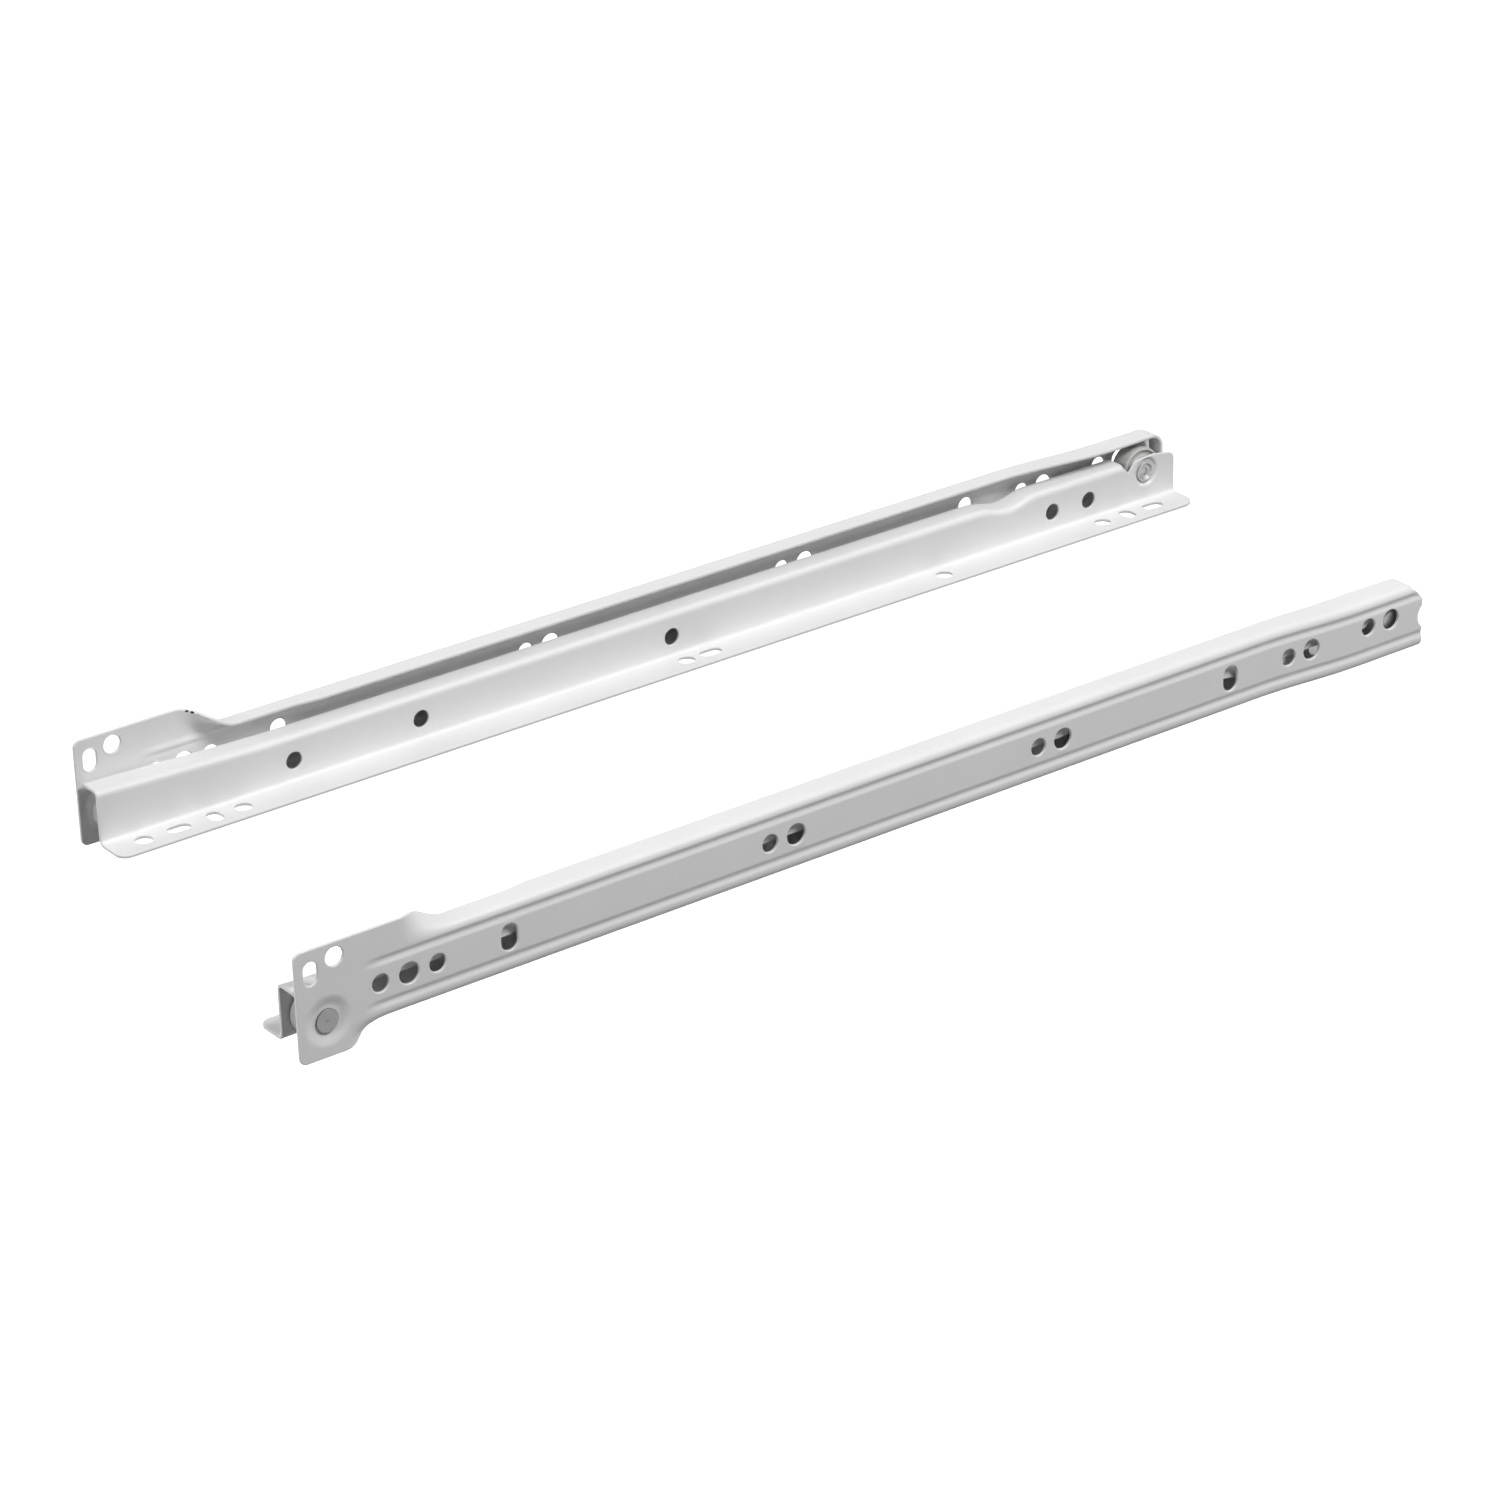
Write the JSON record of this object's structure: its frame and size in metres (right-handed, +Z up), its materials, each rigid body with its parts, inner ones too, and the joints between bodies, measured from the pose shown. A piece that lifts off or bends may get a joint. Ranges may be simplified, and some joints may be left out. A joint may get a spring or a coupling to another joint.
{
  "type": "drawer slide",
  "caption": "Bottom-mount roller drawer slides of folded white sheet steel: a channel rail for the cabinet side and an angled rail under the drawer, running on nylon rollers.",
  "frame": {"origin": "centre of the right cabinet rail's outer screw holes, on the face that lies on the cabinet side", "axes": "+X along the rails from the front of the cabinet to the rear, +Y from the right cabinet side towards the left slide, +Z up"},
  "size_m": [0.4242, 0.151, 0.0328],
  "materials": {
    "white_epoxy_coat": "satin epoxy powder coat",
    "roller_nylon": "plain moulded",
    "axle_steel": "zinc plated, pressed"
  },
  "bodies": {
    "cabinet_rails": {"right_cabinet_rail": "white_epoxy_coat", "right_front_axle": "axle_steel", "left_cabinet_rail": "white_epoxy_coat", "left_front_axle": "axle_steel"},
    "right_drawer": {"right_drawer_rail": "white_epoxy_coat", "right_rear_axle": "axle_steel"},
    "right_front_roller": {"right_front_roller": "roller_nylon"},
    "right_rear_roller": {"right_rear_roller": "roller_nylon"},
    "left_drawer": {"left_drawer_rail": "white_epoxy_coat", "left_rear_axle": "axle_steel"},
    "left_front_roller": {"left_front_roller": "roller_nylon"},
    "left_rear_roller": {"left_rear_roller": "roller_nylon"}
  },
  "joints": [
    {"name": "right_drawer_slide", "type": "slide", "parent": "cabinet_rails", "child": "right_drawer", "axis": [-1, 0, 0], "range_m": [0, 0.31]},
    {"name": "right_front_roller_spin", "type": "hinge", "parent": "cabinet_rails", "child": "right_front_roller", "pos_m": [-0.1857, 0.0054, -0.0054], "axis": [0, 1, 0], "continuous": true},
    {"name": "right_rear_roller_spin", "type": "hinge", "parent": "right_drawer", "child": "right_rear_roller", "pos_m": [0.195, 0.0053, -0.00205], "axis": [0, 1, 0], "continuous": true},
    {"name": "left_drawer_slide", "type": "slide", "parent": "cabinet_rails", "child": "left_drawer", "axis": [-1, 0, 0], "range_m": [0, 0.31]},
    {"name": "left_front_roller_spin", "type": "hinge", "parent": "cabinet_rails", "child": "left_front_roller", "pos_m": [-0.1633, 0.1456, -0.0054], "axis": [0, 1, 0], "continuous": true},
    {"name": "left_rear_roller_spin", "type": "hinge", "parent": "left_drawer", "child": "left_rear_roller", "pos_m": [0.2174, 0.1457, -0.00205], "axis": [0, 1, 0], "continuous": true}
  ],
  "couplings": [
    {"joint": "right_front_roller_spin", "follows": "right_drawer_slide", "rad_per_m": -151.52},
    {"joint": "right_rear_roller_spin", "follows": "right_drawer_slide", "rad_per_m": -135.14},
    {"joint": "left_front_roller_spin", "follows": "left_drawer_slide", "rad_per_m": -151.52},
    {"joint": "left_rear_roller_spin", "follows": "left_drawer_slide", "rad_per_m": -135.14}
  ]
}
